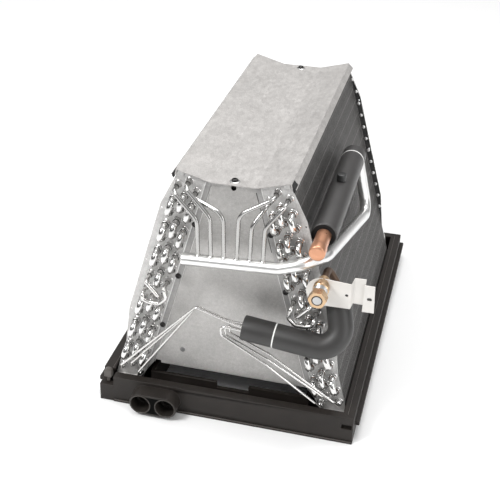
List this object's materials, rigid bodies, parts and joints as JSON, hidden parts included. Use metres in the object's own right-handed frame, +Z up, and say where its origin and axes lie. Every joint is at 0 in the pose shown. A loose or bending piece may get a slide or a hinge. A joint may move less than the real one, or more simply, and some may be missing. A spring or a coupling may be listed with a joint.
{
  "type": "a-coil evaporator",
  "caption": "Uncased A-shaped evaporator coil: two leaning finned slabs on a drain pan, with top cover, end plates, suction header, feeders, distributor and foam-sleeved connections.",
  "frame": {"origin": "centre of the pan's footprint in the plane of its underside, the middle of the air opening", "axes": "+Z up, +Y from the connection end to the rear end, +X to the right seen from the connection end"},
  "size_m": [0.3731, 0.5626, 0.3575],
  "materials": {
    "pan_plastic": "dark brown-black moulded plastic, matte with a slight grain",
    "fin_aluminium": "thin fins seen as a fine dark satin stack",
    "tube_aluminium": "bright drawn aluminium tube",
    "galvanised_sheet": "galvanised sheet with a soft spangle",
    "dark_screw": "blackened screw",
    "zinc": "zinc plated washer",
    "bracket_paint": "light warm grey coated sheet",
    "black_foam": "closed cell foam insulation, dark grey",
    "cap_plastic": "black plastic cap",
    "white_tie": "white seam strip",
    "copper": "clean copper tube, copper in place of brass",
    "brass": "machined brass",
    "white_plug": "off-white plug"
  },
  "bodies": {
    "root": {"cover_screws": "dark_screw", "cover_washers": "zinc", "distributor": "brass", "distributor_tube_1": "tube_aluminium", "distributor_tube_2": "tube_aluminium", "distributor_tube_3": "tube_aluminium", "distributor_tube_4": "tube_aluminium", "distributor_tube_5": "tube_aluminium", "distributor_tube_6": "tube_aluminium", "drain_pan": "pan_plastic", "fitting_body": "brass", "fitting_nut": "brass", "fitting_plug": "white_plug", "front_delta_plate": "galvanised_sheet", "front_delta_screws": "dark_screw", "left_cover_gasket": "black_foam", "left_fin_pack": "fin_aluminium", "left_front_tube_sheet": "galvanised_sheet", "left_hairpin_bends": "tube_aluminium", "left_jumper_tubes": "tube_aluminium", "left_rear_tube_sheet": "galvanised_sheet", "left_return_bends": "tube_aluminium", "liquid_bracket": "bracket_paint", "liquid_seam_tie": "white_tie", "liquid_sleeve_long": "black_foam", "liquid_sleeve_short": "black_foam", "liquid_tube": "copper", "pan_clip": "pan_plastic", "rear_delta_plate": "galvanised_sheet", "rear_delta_screws": "dark_screw", "right_cover_gasket": "black_foam", "right_fin_pack": "fin_aluminium", "right_front_tube_sheet": "galvanised_sheet", "right_hairpin_bends": "tube_aluminium", "right_jumper_tubes": "tube_aluminium", "right_rear_tube_sheet": "galvanised_sheet", "right_return_bends": "tube_aluminium", "service_port_cap": "cap_plastic", "service_port_stem": "copper", "suction_feeder_1": "tube_aluminium", "suction_feeder_2": "tube_aluminium", "suction_feeder_3": "tube_aluminium", "suction_feeder_4": "tube_aluminium", "suction_feeder_5": "tube_aluminium", "suction_feeder_6": "tube_aluminium", "suction_header": "tube_aluminium", "suction_seam_tie": "white_tie", "suction_sleeve_front": "black_foam", "suction_sleeve_rear": "black_foam", "suction_stub": "copper", "suction_stub_cap": "copper", "top_cover": "galvanised_sheet"}
  },
  "joints": []
}
